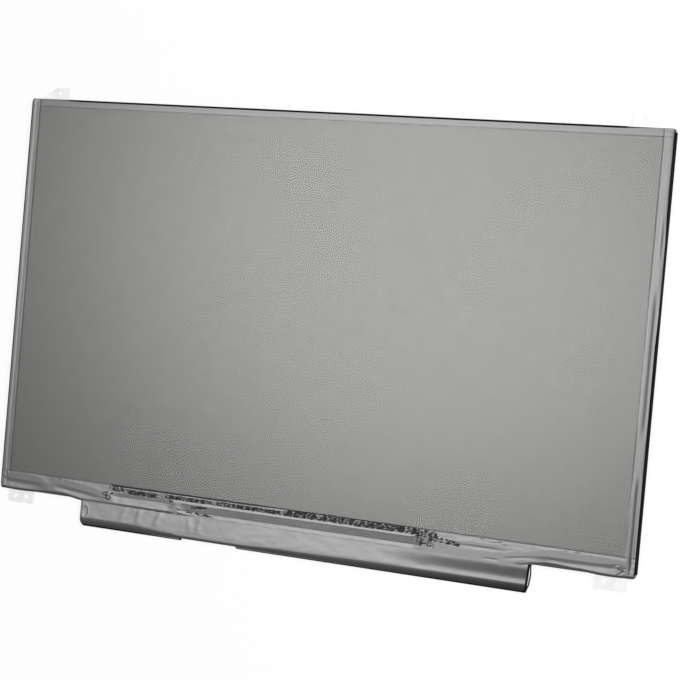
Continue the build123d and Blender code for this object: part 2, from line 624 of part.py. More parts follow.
NODES = {
    "rear_cover": rear_cover(),
    "mold_frame": mold_frame(),
    "reflector_sheet": backlight_sheet(FLOOR, REFLECTOR_SHEET),
    "light_guide_plate": backlight_sheet(GUIDE_BACK, LIGHT_GUIDE),
    "diffuser_sheet": backlight_sheet(DIFFUSER_BACK, OPTICAL_SHEET),
    "lower_prism_sheet": backlight_sheet(LOWER_PRISM_BACK, OPTICAL_SHEET),
    "upper_prism_sheet": backlight_sheet(UPPER_PRISM_BACK, OPTICAL_SHEET),
    "backlight_flex": backlight_flex(),
    "backlight_leds": backlight_leds(),
    "shield_tape": shield_tape(),
    "rear_polarizer": grown_sheet(WINDOW_GROWTH + POLARIZER_LAP, REAR_POLARIZER_BACK, REAR_POLARIZER),
    "tft_glass": glass_plate(TFT_BOTTOM, TFT_BACK),
    "color_filter_glass": glass_plate(FILTER_BOTTOM, FILTER_BACK),
    "front_polarizer": grown_sheet(FRONT_POLARIZER_GROWTH, GLASS_FRONT, FRONT_POLARIZER),
    "protective_film": protective_film(),
    "left_edge_tape": mirror(right_tape, Plane.YZ),
    "right_edge_tape": right_tape,
    "top_edge_tape": top_edge_tape(),
    "upper_left_bracket": upper_left_bracket(),
    "upper_right_bracket": upper_right_bracket(),
    "lower_left_bracket": lower_bracket(-1),
    "lower_right_bracket": lower_bracket(1),
    "source_flexes": source_flexes(),
    "driver_chips": driver_chips(),
    "driver_board": driver_board(),
    "timing_controller": on_board_back(TIMING_CHIP_SIZE, TIMING_CHIP_X, BOARD_MIDDLE),
    "power_chip": on_board_back(POWER_CHIP_SIZE, POWER_CHIP_X, BOARD_MIDDLE),
    "backlight_driver": on_board_back(BACKLIGHT_CHIP_SIZE, BACKLIGHT_CHIP_X, BOARD_MIDDLE),
    "power_inductors": power_inductors(),
    "board_capacitors": small_parts(CAPACITOR_SIZE, CAPACITOR_END_INSETS, CAPACITOR_MIDDLE_XS),
    "board_resistors": small_parts(RESISTOR_SIZE, RESISTOR_END_INSETS, RESISTOR_MIDDLE_XS),
    "signal_connector_housing": signal_body,
    "signal_connector_shell": signal_shell,
    "signal_connector_contacts": signal_contacts,
    "backlight_connector": backlight_connector(),
    "board_cover_film": board_cover_film(),
}

os.makedirs("parts", exist_ok=True)
for name, shape in NODES.items():
    export_step(shape, f"parts/{name}.step")
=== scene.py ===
import json
import math

import bpy
import numpy as np
from mathutils import Matrix, Vector


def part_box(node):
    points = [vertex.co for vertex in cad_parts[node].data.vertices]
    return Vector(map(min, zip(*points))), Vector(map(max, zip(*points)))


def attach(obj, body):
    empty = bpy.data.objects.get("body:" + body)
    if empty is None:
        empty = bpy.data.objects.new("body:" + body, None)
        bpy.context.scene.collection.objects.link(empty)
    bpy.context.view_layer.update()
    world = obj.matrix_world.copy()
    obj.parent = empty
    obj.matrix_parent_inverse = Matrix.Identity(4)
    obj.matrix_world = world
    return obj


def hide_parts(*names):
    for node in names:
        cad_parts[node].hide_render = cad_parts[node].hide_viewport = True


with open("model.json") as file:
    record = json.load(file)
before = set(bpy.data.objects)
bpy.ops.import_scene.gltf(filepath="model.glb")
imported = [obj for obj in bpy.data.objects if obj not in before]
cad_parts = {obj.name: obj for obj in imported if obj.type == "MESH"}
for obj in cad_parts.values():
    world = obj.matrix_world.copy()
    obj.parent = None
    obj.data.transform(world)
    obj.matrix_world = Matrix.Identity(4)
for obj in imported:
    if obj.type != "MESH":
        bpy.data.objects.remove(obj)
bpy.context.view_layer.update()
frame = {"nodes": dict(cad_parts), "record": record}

# Lengths in this file are in millimetres, and are turned to metres where a mesh is made.
MM = 0.001


def node_box(node):
    """A CAD node's lowest and highest corners, in millimetres."""
    low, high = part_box(node)
    return [c / MM for c in low], [c / MM for c in high]


SCREEN_LOW, SCREEN_HIGH = node_box("front_polarizer")
SLEEVE_LOW, SLEEVE_HIGH = node_box("board_cover_film")
BODY_LOW, BODY_HIGH = node_box("mold_frame")
SOCKET_LOW, SOCKET_HIGH = node_box("signal_connector_housing")
SCREEN_SIDE = SCREEN_HIGH[0]
SCREEN_BOTTOM = SCREEN_LOW[1]
SCREEN_TOP = SCREEN_HIGH[1]
BODY_BOTTOM = BODY_LOW[1]
BODY_TOP = BODY_HIGH[1]
BODY_SIDE = node_box("right_edge_tape")[1][0]
BOARD_BOTTOM = node_box("driver_board")[0][1]
STRIP_SIDE = SLEEVE_HIGH[0]
STRIP_BOTTOM = SLEEVE_LOW[1]


# Shader nodes


def node_adder(tree, prefix="ShaderNode"):
    """Returns a function that adds a node to a tree, with its settings and inputs."""

    def add(kind, inputs=None, **settings):
        node = tree.nodes.new(prefix + kind)
        for name, value in settings.items():
            setattr(node, name, value)
        for name, value in (inputs or {}).items():
            if isinstance(value, bpy.types.NodeSocket):
                tree.links.new(value, node.inputs[name])
            else:
                node.inputs[name].default_value = value
        return node

    return add


def math_node(add, operation, first, second=0.0, clamp=False):
    """The result of a two-value sum."""
    return add("Math", {0: first, 1: second}, operation=operation, use_clamp=clamp).outputs[0]


def ranged(add, value, low, high, from_low=0.0, from_high=1.0, kind="LINEAR"):
    """A value moved from one range to another."""
    inputs = {"Value": value, "From Min": from_low, "From Max": from_high, "To Min": low, "To Max": high}
    return add("MapRange", inputs, interpolation_type=kind).outputs[0]


def mixed(add, share, first, second):
    """A colour between two others."""
    return add("Mix", {0: share, 6: first, 7: second}, data_type="RGBA").outputs[2]


def grey(level):
    return (level, level, level, 1.0)


def shader_group(name, inputs, outputs):
    """An empty shader node group with named sockets, its adder and its two end nodes."""
    tree = bpy.data.node_groups.new(name, "ShaderNodeTree")
    for socket, kind, value in inputs:
        made = tree.interface.new_socket(socket, in_out="INPUT", socket_type=kind)
        made.default_value = value
    for socket, kind in outputs:
        tree.interface.new_socket(socket, in_out="OUTPUT", socket_type=kind)
    start = tree.nodes.new("NodeGroupInput")
    end = tree.nodes.new("NodeGroupOutput")
    return tree, node_adder(tree), start.outputs, end.inputs


def fine_grain_group():
    """Fine grain and broad blotches in a surface, from its own coordinates."""
    tree, add, given, result = shader_group(
        "fine_grain",
        [
            ("Grain Scale", "NodeSocketFloat", 1500.0),
            ("Blotch Scale", "NodeSocketFloat", 40.0),
            ("Stretch", "NodeSocketVector", (1.0, 1.0, 1.0)),
        ],
        [("Grain", "NodeSocketFloat"), ("Blotch", "NodeSocketFloat")],
    )
    place = add("TexCoord").outputs["Object"]
    drawn = add("VectorMath", {0: place, 1: given["Stretch"]}, operation="MULTIPLY").outputs[0]
    grain = add("TexNoise", {"Vector": drawn, "Scale": given["Grain Scale"], "Detail": 3.0}).outputs[0]
    blotch = add("TexNoise", {"Vector": drawn, "Scale": given["Blotch Scale"], "Detail": 2.0}).outputs[0]
    tree.links.new(grain, result["Grain"])
    tree.links.new(ranged(add, blotch, 0.0, 1.0, 0.3, 0.7), result["Blotch"])
    return tree


def handling_marks_group():
    """Soft smears and a few specks of dust, as on a part that has been handled."""
    tree, add, given, result = shader_group(
        "handling_marks",
        [("Smear Scale", "NodeSocketFloat", 18.0), ("Speck Scale", "NodeSocketFloat", 90.0)],
        [("Smear", "NodeSocketFloat"), ("Speck", "NodeSocketFloat")],
    )
    place = add("TexCoord").outputs["Object"]
    smear_inputs = {"Vector": place, "Scale": given["Smear Scale"], "Detail": 4.0, "Distortion": 0.6}
    smear = add("TexNoise", smear_inputs).outputs[0]
    cells = add("TexVoronoi", {"Vector": place, "Scale": given["Speck Scale"]})
    rare = add("TexWhiteNoise", {"Vector": cells.outputs["Position"]}, noise_dimensions="3D").outputs[0]
    dot = ranged(add, cells.outputs["Distance"], 1.0, 0.0, 0.02, 0.05)
    shown = math_node(add, "GREATER_THAN", rare, 0.8)
    tree.links.new(ranged(add, smear, 0.0, 1.0, 0.4, 0.7), result["Smear"])
    tree.links.new(math_node(add, "MULTIPLY", dot, shown), result["Speck"])
    return tree


def conductor_lines_group():
    """Fine conductor lines, which turn a corner from one field of the surface to another."""
    tree, add, given, result = shader_group(
        "conductor_lines",
        [
            ("Pitch", "NodeSocketFloat", 0.0005),
            ("Field Size", "NodeSocketFloat", 0.003),
            ("Turned Share", "NodeSocketFloat", 0.0),
        ],
        [("Line", "NodeSocketFloat")],
    )
    place = add("TexCoord").outputs["Object"]
    size = add("CombineXYZ", {0: given["Field Size"], 1: given["Field Size"], 2: 1.0}).outputs[0]
    field = add("VectorMath", {0: place, 1: size}, operation="SNAP").outputs[0]
    chance = add("TexWhiteNoise", {"Vector": field}, noise_dimensions="3D").outputs[0]
    turned = math_node(add, "LESS_THAN", chance, given["Turned Share"])
    axes = add("SeparateXYZ", {0: place}).outputs
    lines = []
    for axis in (axes[0], axes[1]):
        step = math_node(add, "FRACT", math_node(add, "DIVIDE", axis, given["Pitch"]))
        off_middle = math_node(add, "ABSOLUTE", math_node(add, "SUBTRACT", step, 0.5))
        lines.append(ranged(add, off_middle, 1.0, 0.0, 0.22, 0.30))
    line = add("Mix", {0: turned, 2: lines[0], 3: lines[1]}, data_type="FLOAT").outputs[0]
    tree.links.new(line, result["Line"])
    return tree


FINE_GRAIN = fine_grain_group()
HANDLING_MARKS = handling_marks_group()
CONDUCTOR_LINES = conductor_lines_group()


def placed_group(add, tree, **values):
    """A shared effect set into a material, with its own values."""
    node = add("Group", node_tree=tree)
    for name, value in values.items():
        node.inputs[name.replace("_", " ")].default_value = value
    return node.outputs


def new_material(name):
    """A material with an empty tree, its adder and its main shader."""
    material = bpy.data.materials.new(name)
    material.use_nodes = True
    tree = material.node_tree
    tree.nodes.clear()
    add = node_adder(tree)
    shader = add("BsdfPrincipled")
    add("OutputMaterial", {"Surface": shader.outputs[0]})

    def feed(socket, value):
        if isinstance(value, bpy.types.NodeSocket):
            tree.links.new(value, shader.inputs[socket])
        else:
            shader.inputs[socket].default_value = value

    return material, add, feed


def grained_finish(
    name,
    dark,
    light,
    rough,
    grain=1500.0,
    blotch=40.0,
    stretch=(1.0, 1.0, 1.0),
    bump=0.1,
    metallic=0.0,
    ior=1.5,
):
    """A finish between two colours, with a grain that breaks up its gloss."""
    material, add, feed = new_material(name)
    surface = placed_group(add, FINE_GRAIN, Grain_Scale=grain, Blotch_Scale=blotch, Stretch=stretch)
    marks = placed_group(add, HANDLING_MARKS)
    feed("Base Color", mixed(add, surface["Blotch"], (*dark, 1.0), (*light, 1.0)))
    feed("Metallic", metallic)
    feed("IOR", ior)
    worn = math_node(add, "MULTIPLY", marks["Smear"], 0.08)
    feed("Roughness", math_node(add, "ADD", ranged(add, surface["Grain"], *rough), worn))
    height = {"Height": surface["Grain"], "Strength": bump, "Distance": 0.00005}
    feed("Normal", add("Bump", height).outputs[0])
    return material


def circuit_finish(name, ground, line, rough, pitch, field_size, turned_share):
    """A printed circuit: fine conductor lines that stand up a little under a smooth coat."""
    material, add, feed = new_material(name)
    surface = placed_group(add, FINE_GRAIN, Grain_Scale=2500.0, Blotch_Scale=60.0)
    drawn = placed_group(add, CONDUCTOR_LINES, Pitch=pitch, Field_Size=field_size, Turned_Share=turned_share)
    cloudy = mixed(add, surface["Blotch"], (*ground, 1.0), (*[0.8 * level for level in ground], 1.0))
    feed("Base Color", mixed(add, drawn["Line"], cloudy, (*line, 1.0)))
    feed("Roughness", ranged(add, surface["Grain"], *rough))
    height = {"Height": drawn["Line"], "Strength": 0.4, "Distance": 0.00003}
    feed("Normal", add("Bump", height).outputs[0])
    return material


def polarizer_finish():
    """The screen's dark, slightly warm, polished face."""
    material, add, feed = new_material("polarizer")
    surface = placed_group(add, FINE_GRAIN, Grain_Scale=4000.0, Blotch_Scale=7.0)
    marks = placed_group(add, HANDLING_MARKS, Smear_Scale=9.0)
    feed("Base Color", mixed(add, surface["Blotch"], (0.021, 0.021, 0.019, 1.0), (0.023, 0.023, 0.020, 1.0)))
    feed("Roughness", ranged(add, marks["Smear"], 0.02, 0.03))
    feed("IOR", 1.95)
    return material


def clear_film_finish():
    """Clear film: almost unseen where it lies on the screen, hazy where it stands off, and darkened by painted
    shade in its crinkles and along its lower edge.
    """
    material, add, feed = new_material("clear_film")
    surface = placed_group(add, FINE_GRAIN, Grain_Scale=900.0, Blotch_Scale=25.0)
    marks = placed_group(add, HANDLING_MARKS, Speck_Scale=60.0)
    lifted = add("Attribute", attribute_name="lifted").outputs["Fac"]
    haze_and_shade_level = add("Attribute", attribute_name="haze_and_shade").outputs["Fac"]
    haze_and_shade = mixed(add, surface["Blotch"], (0.123, 0.118, 0.130, 1.0), (0.150, 0.144, 0.158, 1.0))
    # Near black where the attribute read above is low: clear film on the screen, and painted shade in the
    # crinkles, buckles and along the lower edge
    body = mixed(add, haze_and_shade_level, (0.012, 0.012, 0.012, 1.0), haze_and_shade)
    feed("Base Color", mixed(add, marks["Speck"], body, (0.10, 0.10, 0.10, 1.0)))
    seen = ranged(add, lifted, 0.05, 0.94)
    feed("Alpha", math_node(add, "MAXIMUM", seen, math_node(add, "MULTIPLY", marks["Speck"], 0.6)))
    dull = math_node(add, "MULTIPLY", marks["Speck"], 0.4)
    feed("Roughness", math_node(add, "ADD", ranged(add, marks["Smear"], 0.03, 0.05), dull))
    feed("IOR", 1.95)
    height = {"Height": surface["Grain"], "Strength": 0.03, "Distance": 0.00005}
    feed("Normal", add("Bump", height).outputs[0])
    return material


def cover_film_finish():
    """Shiny film of the driver-board strip: grey on its face, and darkened to black by painted shade where it
    turns under.
    """
    material, add, feed = new_material("cover_film")
    surface = placed_group(add, FINE_GRAIN, Grain_Scale=300.0, Blotch_Scale=30.0, Stretch=(1.0, 0.35, 1.0))
    marks = placed_group(add, HANDLING_MARKS, Smear_Scale=30.0)
    haze_and_shade_level = add("Attribute", attribute_name="haze_and_shade").outputs["Fac"]
    face = mixed(add, surface["Blotch"], (0.122, 0.118, 0.128, 1.0), (0.148, 0.142, 0.153, 1.0))
    feed("Base Color", mixed(add, haze_and_shade_level, (0.010, 0.010, 0.010, 1.0), face))
    feed("Roughness", ranged(add, marks["Smear"], 0.10, 0.18))
    feed("IOR", 1.95)
    height = {"Height": surface["Grain"], "Strength": 0.04, "Distance": 0.0001}
    feed("Normal", add("Bump", height).outputs[0])
    return material


FINISHES = {
    "cover_metal": grained_finish(
        "cover_metal",
        (0.60, 0.61, 0.62),
        (0.68, 0.69, 0.70),
        (0.28, 0.45),
        grain=900.0,
        blotch=25.0,
        stretch=(0.06, 1.0, 1.0),
        bump=0.15,
        metallic=1.0,
    ),
    "frame_plastic": grained_finish(
        "frame_plastic", (0.018, 0.018, 0.019), (0.028, 0.028, 0.030), (0.45, 0.65)
    ),
    "white_sheet": grained_finish("white_sheet", (0.84, 0.84, 0.83), (0.90, 0.90, 0.89), (0.5, 0.7)),
    "clear_acrylic": grained_finish("clear_acrylic", (0.70, 0.74, 0.76), (0.78, 0.81, 0.83), (0.1, 0.2)),
    "optical_sheet": grained_finish(
        "optical_sheet", (0.72, 0.73, 0.75), (0.80, 0.81, 0.82), (0.3, 0.5), 3000.0, 30.0, (0.05, 1.0, 1.0)
    ),
    "flex_film": circuit_finish(
        "flex_film", (0.34, 0.15, 0.035), (0.50, 0.26, 0.08), (0.25, 0.40), 0.0004, 0.01, 0.0
    ),
    "lamp_body": grained_finish("lamp_body", (0.80, 0.78, 0.66), (0.88, 0.86, 0.72), (0.3, 0.45)),
    "black_tape": grained_finish(
        "black_tape", (0.004, 0.004, 0.005), (0.008, 0.008, 0.009), (0.45, 0.60), 700.0, ior=1.05
    ),
    "polarizer": polarizer_finish(),
    "cell_glass": grained_finish("cell_glass", (0.010, 0.012, 0.012), (0.014, 0.016, 0.016), (0.03, 0.08)),
    "clear_film": clear_film_finish(),
    "bracket_steel": grained_finish(
        "bracket_steel",
        (0.68, 0.68, 0.69),
        (0.76, 0.76, 0.77),
        (0.25, 0.40),
        grain=2500.0,
        blotch=150.0,
        bump=0.2,
        metallic=1.0,
    ),
    "chip": grained_finish("chip", (0.020, 0.020, 0.021), (0.032, 0.032, 0.033), (0.4, 0.6), 6000.0),
    "board": circuit_finish("board", (0.02, 0.10, 0.05), (0.05, 0.20, 0.10), (0.25, 0.40), 0.0007, 0.0042, 0.4),
    "inductor": grained_finish("inductor", (0.06, 0.06, 0.065), (0.09, 0.09, 0.095), (0.5, 0.7), 5000.0),
    "capacitor": grained_finish("capacitor", (0.40, 0.28, 0.17), (0.50, 0.36, 0.23), (0.35, 0.5), 6000.0),
    "resistor": grained_finish("resistor", (0.03, 0.03, 0.035), (0.05, 0.05, 0.055), (0.3, 0.5), 6000.0),
    "socket_plastic": grained_finish(
        "socket_plastic", (0.70, 0.66, 0.56), (0.78, 0.74, 0.64), (0.35, 0.5), 4000.0
    ),
    "socket_steel": grained_finish(
        "socket_steel", (0.66, 0.65, 0.62), (0.74, 0.73, 0.70), (0.2, 0.35), 3000.0, metallic=1.0
    ),
    "contact": grained_finish(
        "contact", (0.80, 0.58, 0.24), (0.88, 0.66, 0.30), (0.18, 0.3), 4000.0, metallic=1.0
    ),
    "cover_film": cover_film_finish(),
}

for row in frame["record"]["subparts"]:
    for material_slot in frame["nodes"][row["node"]].material_slots:
        material_slot.material = FINISHES[row["material_slot"]]


# Crinkled sheets


def crinkle_tree():
    """Geometry nodes that crinkle a thin sheet along its own normals, where its crinkle attribute says."""
    tree = bpy.data.node_groups.new("sheet_crinkles", "GeometryNodeTree")
    sockets = {}
    for name, kind in (
        ("Sheet", "NodeSocketGeometry"),
        ("Crinkle Height", "NodeSocketFloat"),
        ("Crinkle Size", "NodeSocketFloat"),
        ("Crinkle Stretch", "NodeSocketFloat"),
        ("Wave Height", "NodeSocketFloat"),
        ("Wave Size", "NodeSocketFloat"),
        ("Lowest", "NodeSocketFloat"),
        ("Highest", "NodeSocketFloat"),
        ("Seed", "NodeSocketFloat"),
        ("Material", "NodeSocketMaterial"),
    ):
        sockets[name] = tree.interface.new_socket(name, in_out="INPUT", socket_type=kind).identifier
    tree.interface.new_socket("Sheet", in_out="OUTPUT", socket_type="NodeSocketGeometry")
    given = tree.nodes.new("NodeGroupInput").outputs
    end = tree.nodes.new("NodeGroupOutput")
    shade = node_adder(tree)
    shape = node_adder(tree, "GeometryNode")
    place = shape("InputPosition").outputs[0]

    def bumps(size, stretch, attribute, height, detail, sharp):
        across = math_node(shade, "DIVIDE", 1.0, size)
        along = math_node(shade, "DIVIDE", across, stretch)
        drawn = shade("CombineXYZ", {0: along, 1: across, 2: across}).outputs[0]
        drawn = shade("VectorMath", {0: place, 1: drawn}, operation="MULTIPLY").outputs[0]
        inputs = {"Vector": drawn, "W": given["Seed"], "Scale": 1.0, "Detail": detail, "Roughness": 0.6}
        noise = shade("TexNoise", inputs, noise_dimensions="4D").outputs[0]
        swing = ranged(shade, noise, -1.0, 1.0, 0.25, 0.75)
        if sharp:
            swing = math_node(shade, "SUBTRACT", 0.45, math_node(shade, "ABSOLUTE", swing))
        share = shape("InputNamedAttribute", {"Name": attribute}, data_type="FLOAT").outputs[0]
        return math_node(shade, "MULTIPLY", math_node(shade, "MULTIPLY", swing, share), height)

    stretch = given["Crinkle Stretch"]
    crinkle = bumps(given["Crinkle Size"], stretch, "crinkle", given["Crinkle Height"], 1.5, True)
    wave = bumps(given["Wave Size"], stretch, "slack", given["Wave Height"], 1.0, False)
    lift = math_node(shade, "ADD", crinkle, wave)
    normal = shape("InputNormal").outputs[0]
    offset = shade("VectorMath", {0: normal, "Scale": lift}, operation="SCALE").outputs[0]
    moved = shade("VectorMath", {0: place, 1: offset}, operation="ADD").outputs[0]
    parts = shade("SeparateXYZ", {0: moved}).outputs
    bounded = math_node(shade, "MAXIMUM", parts[2], given["Lowest"])
    bounded = math_node(shade, "MINIMUM", bounded, given["Highest"])
    kept_in = shade("CombineXYZ", {0: parts[0], 1: parts[1], 2: bounded}).outputs[0]
    moved = shape("SetPosition", {"Geometry": given["Sheet"], "Position": kept_in}).outputs[0]
    smooth = shape("SetShadeSmooth", {0: moved}).outputs[0]
    real = shape("RealizeInstances", {0: smooth}).outputs[0]
    dressed = shape("SetMaterial", {"Geometry": real, "Material": given["Material"]}).outputs[0]
    tree.links.new(dressed, end.inputs[0])
    return tree, sockets


CRINKLES, CRINKLE_SOCKETS = crinkle_tree()

# Edges bent more than this, in degrees, show as creases
CREASE_ANGLE = 18.0


def grid_cells(numbers):
    """The four corners of each cell in a grid of numbered points."""
    corners = (numbers[:-1, :-1], numbers[:-1, 1:], numbers[1:, 1:], numbers[1:, :-1])
    return np.stack(corners, -1)


def sheet_object(name, points, faces, attributes):
    """A surface from numbered points, in millimetres, the faces between them and values at the points."""
    used = np.unique(np.concatenate([np.ravel(face) for face in faces]))
    fresh = np.full(len(points), -1)
    fresh[used] = np.arange(len(used))
    mesh = bpy.data.meshes.new(name)
    mesh.from_pydata((points[used] * MM).tolist(), [], [fresh[face].tolist() for face in faces])
    for label, values in attributes.items():
        layer = mesh.attributes.new(label, "FLOAT", "POINT")
        layer.data.foreach_set("value", values[used].astype(np.float32))
    piece = bpy.data.objects.new(name, mesh)
    bpy.context.scene.collection.objects.link(piece)
    return piece


def finished_sheet(piece, thickness, **values):
    """Crinkles a surface, gives it its thickness and leaves it as a plain mesh."""
    crinkles = piece.modifiers.new("crinkles", "NODES")
    crinkles.node_group = CRINKLES
    for name, value in values.items():
        crinkles[CRINKLE_SOCKETS[name.replace("_", " ")]] = value
    wall = piece.modifiers.new("wall", "SOLIDIFY")
    wall.thickness = thickness * MM
    wall.offset = -1.0
    depsgraph = bpy.context.evaluated_depsgraph_get()
    made = bpy.data.meshes.new_from_object(
        piece.evaluated_get(depsgraph), preserve_all_data_layers=True, depsgraph=depsgraph
    )
    piece.modifiers.clear()
    piece.data = made
    made.set_sharp_from_angle(angle=math.radians(CREASE_ANGLE))
    return piece


def dress_faces(piece, label, material, least_rise):
    """Gives a second finish to the faces whose points all have a value of 1, and that face up enough."""
    mesh = piece.data
    marked = np.empty(len(mesh.vertices), np.float32)
    mesh.attributes[label].data.foreach_get("value", marked)
    mesh.materials.append(material)
    for face in mesh.polygons:
        if face.normal.z >= least_rise and all(marked[corner] > 0.5 for corner in face.vertices):
            face.material_index = len(mesh.materials) - 1


def smooth_step(low, high, value):
    """From 0 at low to 1 at high, with a soft start and end."""
    share = np.clip((value - low) / (high - low), 0.0, 1.0)
    return share * share * (3.0 - 2.0 * share)


def between(low, high, soft, value):
    """1 between two places, fading to 0 outside them."""
    return smooth_step(low - soft, low + soft, value) * (1.0 - smooth_step(high - soft, high + soft, value))


def steps(table, distance):
    """The sum of soft steps: start, end and size."""
    return sum(size * smooth_step(start, end, distance) for start, end, size in table)


def patches(x, y, places):
    """The strongest of several soft oval patches: middle, half sizes and strength."""
    mask = np.zeros_like(x)
    for middle_x, middle_y, half_x, half_y, strength in places:
        reach = np.hypot((x - middle_x) / half_x, (y - middle_y) / half_y)
        mask = np.maximum(mask, strength * (1.0 - smooth_step(0.6, 1.2, reach)))
    return mask


def spaced(*runs):
    """Places along a line, from runs of start, end and spacing."""
    places = [np.linspace(a, b, max(2, round(abs(b - a) / s) + 1)) for a, b, s in runs]
    return np.unique(np.round(np.concatenate(places), 4))


# Protective film

FILM_SHEET = 0.06
FILM_FRONT = 3.47
FILM_SIDE = BODY_SIDE - 0.1

# Steps of the film past the screen's edges: start and end of a step, and its drop
LEFT_STEPS = ((0.0, 0.4, 0.04), (0.4, 1.0, -0.02), (1.8, 3.8, -0.06), (4.0, 4.5, 0.05))
RIGHT_STEPS = ((0.0, 0.4, 0.04), (0.4, 1.0, -0.02), (1.2, 3.2, -0.02), (4.0, 4.5, 0.02))
TOP_STEPS = ((0.0, 0.4, 0.02), (0.5, 1.2, -0.01))
LOWER_STEPS = ((0.0, 0.5, 0.04),)

# Below the screen the film rises again by this slope, from one place to another
FILM_RISE = 0.018
RISE_START = 0.7
RISE_LENGTH = 4.0

# Slopes of the film below the screen: x from, x to, start below the screen's edge at each end, width and drop
FILM_SLOPES = (
    (-93.0, 58.0, 0.5, 0.5, 0.5, -0.03),
    (-93.0, 58.0, 1.0, 1.0, 2.1, 0.09),
    (-93.0, 58.0, 3.1, 3.1, 1.0, -0.06),
    (-92.0, -61.0, 3.6, 3.4, 1.5, 0.13),
    (-92.0, -58.0, 5.3, 5.2, 3.0, -0.13),
    (-91.0, -61.0, 3.4, 3.2, 0.3, 0.05),
    (-57.0, 58.0, 4.1, 4.0, 0.4, 0.07),
    (-57.0, 58.0, 4.5, 4.4, 2.4, 0.14),
    (-57.0, 58.0, 6.9, 6.8, 0.4, 0.06),
    (-57.0, 58.0, 7.3, 7.2, 1.6, -0.07),
)

# Rolling waves of the film below the screen: x from, x to, line below the screen's edge at each end,
# half width and height
FILM_WAVES = (
    (-149.0, -132.0, 3.8, 4.0, 1.5, 0.27),
    (-121.0, -102.0, 3.7, 5.5, 1.3, 0.27),
    (79.0, 95.0, 3.9, 3.9, 0.7, 0.10),
    (98.0, 108.0, 6.6, 5.2, 0.7, 0.09),
    (112.0, 147.0, 4.6, 4.0, 1.4, 0.20),
    (89.0, 94.0, 8.2, 8.3, 0.4, 0.10),
    (-108.0, -58.0, 8.5, 8.8, 0.45, 0.12),
)

# Rolling waves of the film beside the screen: side, from and to above the screen's lower edge,
# line beyond the screen's side at each end, half width and height
FILM_SIDE_WAVES = (
    (1.0, -6.0, 28.0, 2.0, 2.1, 0.8, 0.22),
    (1.0, 51.0, 104.0, 2.4, 2.5, 1.0, 0.11),
    (1.0, 121.0, 133.0, 3.3, 3.3, 0.5, 0.06),
    (-1.0, -8.0, 4.0, 3.4, 3.2, 0.35, 0.05),
)

# Folds in the film round an oval: x, middle below the screen's edge, half sizes and depth
FILM_RINGS = (
    (145.6, 5.6, 2.4, 1.9, 0.08),
    (-150.6, 5.0, 0.9, 3.4, 0.05),
)
RING_WIDTH = 0.2

# Patches of fine crinkles: x, middle below the screen's edge, half length, half height and strength
FILM_CRINKLES = (
    (-77.0, 2.0, 17.0, 1.4, 0.5),
    (-20.0, 1.9, 40.0, 1.3, 0.5),
    (36.0, 1.8, 24.0, 1.3, 0.6),
    (61.5, 3.6, 7.0, 3.6, 0.7),
    (70.0, 4.2, 6.0, 1.2, 0.5),
    (-95.5, 6.1, 3.5, 1.6, 0.5),
    (-43.0, 7.8, 6.0, 0.8, 0.5),
    (-66.0, 8.9, 10.0, 0.5, 0.5),
    (150.2, 2.6, 1.1, 3.4, 0.8),
    (147.2, 5.2, 2.8, 1.5, 0.8),
    (148.0, 7.0, 3.5, 1.2, 0.4),
    (-150.0, 4.5, 2.2, 4.5, 0.3),
    (125.0, 1.6, 25.0, 0.7, 0.22),
    (90.0, 1.8, 12.0, 0.8, 0.25),
    (-125.0, 1.5, 25.0, 0.6, 0.18),
)

# Runs of small buckles: x from, x to, line below the screen's edge at each end, half spread,
# largest half length and half width, and number
FILM_BUCKLES = (
    (-94.0, -86.0, 1.6, 1.9, 0.8, 0.8, 0.35, 16),
    (58.0, 66.0, 7.0, 7.6, 0.4, 0.8, 0.25, 6),
    (-96.0, -92.0, 3.9, 4.1, 0.3, 0.9, 0.30, 6),
    (-63.5, -61.0, 3.5, 3.7, 0.2, 0.9, 0.35, 5),
    (-52.0, -44.0, 5.4, 4.7, 0.5, 1.2, 0.45, 18),
    (-58.5, -57.0, 6.9, 6.9, 0.2, 0.8, 0.35, 3),
    (-54.0, -40.0, 7.4, 7.8, 0.6, 1.0, 0.30, 14),
    (-76.0, -58.0, 8.8, 8.9, 0.2, 1.3, 0.25, 10),
    (117.4, 117.6, 5.3, 5.3, 0.1, 0.6, 0.35, 1),
    (84.0, 98.0, 0.9, 1.8, 0.4, 0.8, 0.20, 5),
    (108.0, 135.0, 0.8, 1.6, 0.4, 0.7, 0.18, 7),
    (-135.0, -98.0, 1.0, 1.6, 0.5, 0.7, 0.18, 9),
)
BUCKLE_LEAN = 0.3

# Bands of squiggled creases: x from, x to, line below the screen's edge at each end, half height and heaviness
FILM_SQUIGGLES = (
    (-93.0, -86.0, 1.9, 2.2, 0.9, 1.00),
    (-85.0, -70.0, 2.4, 2.6, 1.0, 1.50),
    (-66.0, -41.0, 2.0, 2.1, 1.0, 1.20),
    (-39.0, -4.0, 2.0, 2.1, 1.0, 1.20),
    (-5.0, 57.0, 1.6, 1.6, 1.6, 1.10),
    (56.0, 67.0, 1.6, 2.2, 1.3, 0.90),
    (57.0, 65.0, 4.4, 5.4, 2.1, 0.95),
    (64.0, 77.0, 3.6, 4.6, 1.2, 0.80),
    (-98.0, -92.5, 5.4, 6.6, 1.3, 0.75),
)
SQUIGGLE_WAVES = 16
SHORTEST_SQUIGGLE = 1.4
LONGEST_SQUIGGLE = 2.4
SQUIGGLE_SOFTNESS = 0.15
SQUIGGLE_SEED = 5

# The film is also buckled in a line along the screen's lower edge: x and the line's width
EDGE_LINE = ((-94.5, 0.0), (-92.5, 0.85), (-58.0, 0.8), (-30.0, 0.65), (0.0, 0.55), (56.0, 0.4), (70.0, 0.0))
BUCKLE_SEED = 7

# Inside a buckle the film is finely pleated, from row to row of its points
PLEAT_STEEPNESS = 0.55

